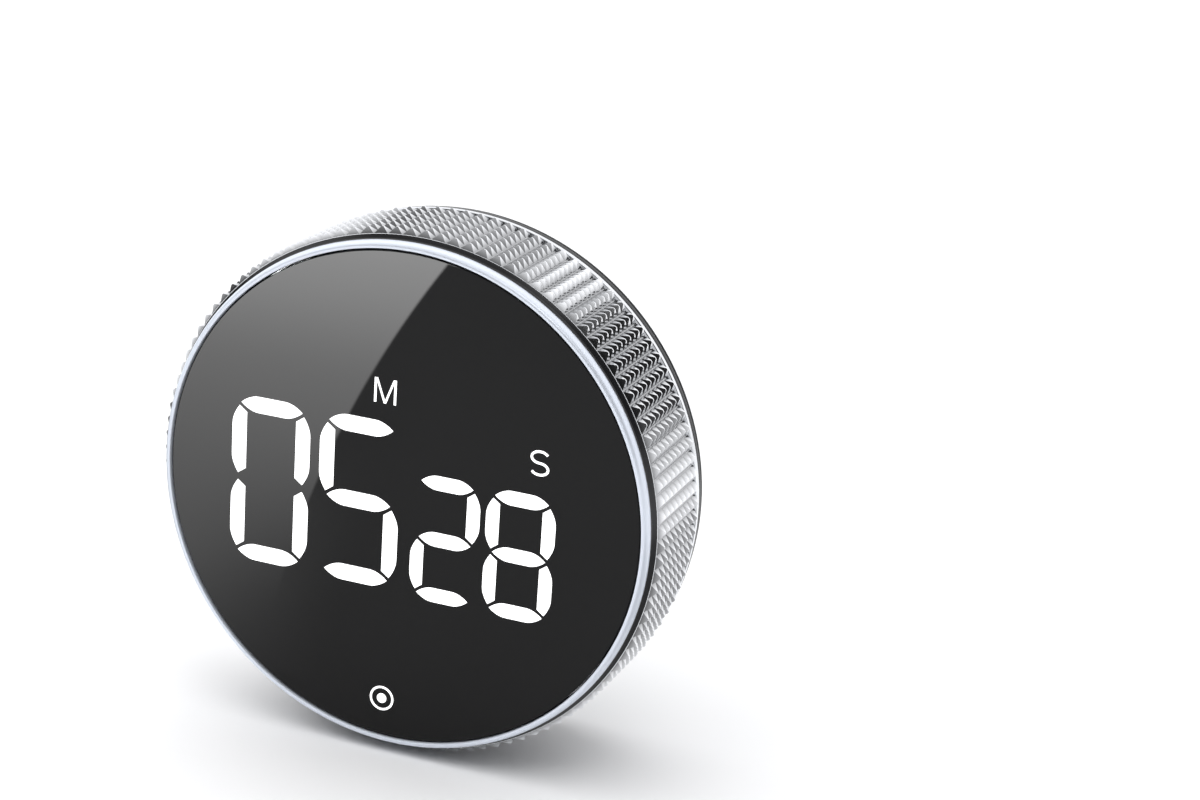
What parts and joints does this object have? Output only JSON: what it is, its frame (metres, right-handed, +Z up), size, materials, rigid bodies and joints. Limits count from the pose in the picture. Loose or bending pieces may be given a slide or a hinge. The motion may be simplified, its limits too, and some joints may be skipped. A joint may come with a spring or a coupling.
{
  "type": "kitchen timer",
  "caption": "Round magnetic twist-dial countdown timer with a knurled metal ring, dark press-panel display, battery door and volume switch on the back.",
  "frame": {"origin": "centre of the flat magnetic back", "axes": "+Z up with the digits upright, +Y out of the back along the dial axis, +X to the right seen from the display side"},
  "size_m": [0.078, 0.0246, 0.078],
  "materials": {
    "polished_metal": "polished",
    "smoked_lens": "high gloss",
    "black_plastic": "satin",
    "grey_plastic": "fine satin",
    "magnet_pad": "matt",
    "pale_plastic": "satin",
    "circuit_board": "satin",
    "steel": "plated",
    "cell_wrapper": "gloss"
  },
  "bodies": {
    "housing": {"front_housing": "black_plastic", "main_board": "circuit_board", "minutes_display": "black_plastic", "seconds_display": "black_plastic", "controller_chip": "black_plastic", "tact_switch_body": "black_plastic", "encoder_body": "black_plastic", "volume_switch_body": "steel", "buzzer": "black_plastic", "glide_ring": "black_plastic", "rear_cover": "grey_plastic", "battery_1": "cell_wrapper", "battery_2": "cell_wrapper", "battery_3": "cell_wrapper", "battery_spring_1": "steel", "battery_spring_2": "steel", "battery_spring_3": "steel", "battery_contact_1": "steel", "battery_contact_2": "steel", "battery_contact_3": "steel", "magnet_top": "steel", "magnet_bottom": "steel", "magnet_pad_top": "magnet_pad", "magnet_pad_bottom": "magnet_pad", "cover_screw_1": "steel", "cover_screw_2": "steel", "cover_screw_3": "steel", "cover_screw_4": "steel"},
    "dial": {"dial_ring": "polished_metal", "ring_gear": "pale_plastic"},
    "pinion": {"encoder_pinion": "pale_plastic"},
    "panel": {"front_lens": "smoked_lens", "lens_carrier": "black_plastic"},
    "tact": {"tact_plunger": "pale_plastic"},
    "volume": {"volume_knob": "grey_plastic", "volume_switch_slider": "black_plastic"},
    "door": {"battery_door": "grey_plastic"}
  },
  "joints": [
    {"name": "dial_turn", "type": "hinge", "parent": "housing", "child": "dial", "pos_m": [0, -0.0123, 0], "axis": [0, 1, 0], "continuous": true},
    {"name": "pinion_spin", "type": "hinge", "parent": "housing", "child": "pinion", "pos_m": [0, -0.0124, 0.028], "axis": [0, 1, 0], "continuous": true},
    {"name": "panel_press", "type": "slide", "parent": "housing", "child": "panel", "axis": [0, 1, 0], "range_m": [0, 0.0004], "stiffness_N_per_m": 2500},
    {"name": "tact_press", "type": "slide", "parent": "housing", "child": "tact", "axis": [0, 1, 0], "range_m": [0, 0.0004]},
    {"name": "volume_slide", "type": "slide", "parent": "housing", "child": "volume", "axis": [0, 0, 1], "range_m": [0, 0.004]},
    {"name": "door_open", "type": "hinge", "parent": "housing", "child": "door", "pos_m": [-0.0005, 0, -0.0189], "axis": [-1, 0, 0], "range_deg": [0, 75]}
  ],
  "couplings": [
    {"joint": "pinion_spin", "follows": "dial_turn", "ratio": 6},
    {"joint": "tact_press", "follows": "panel_press", "ratio": 1}
  ]
}
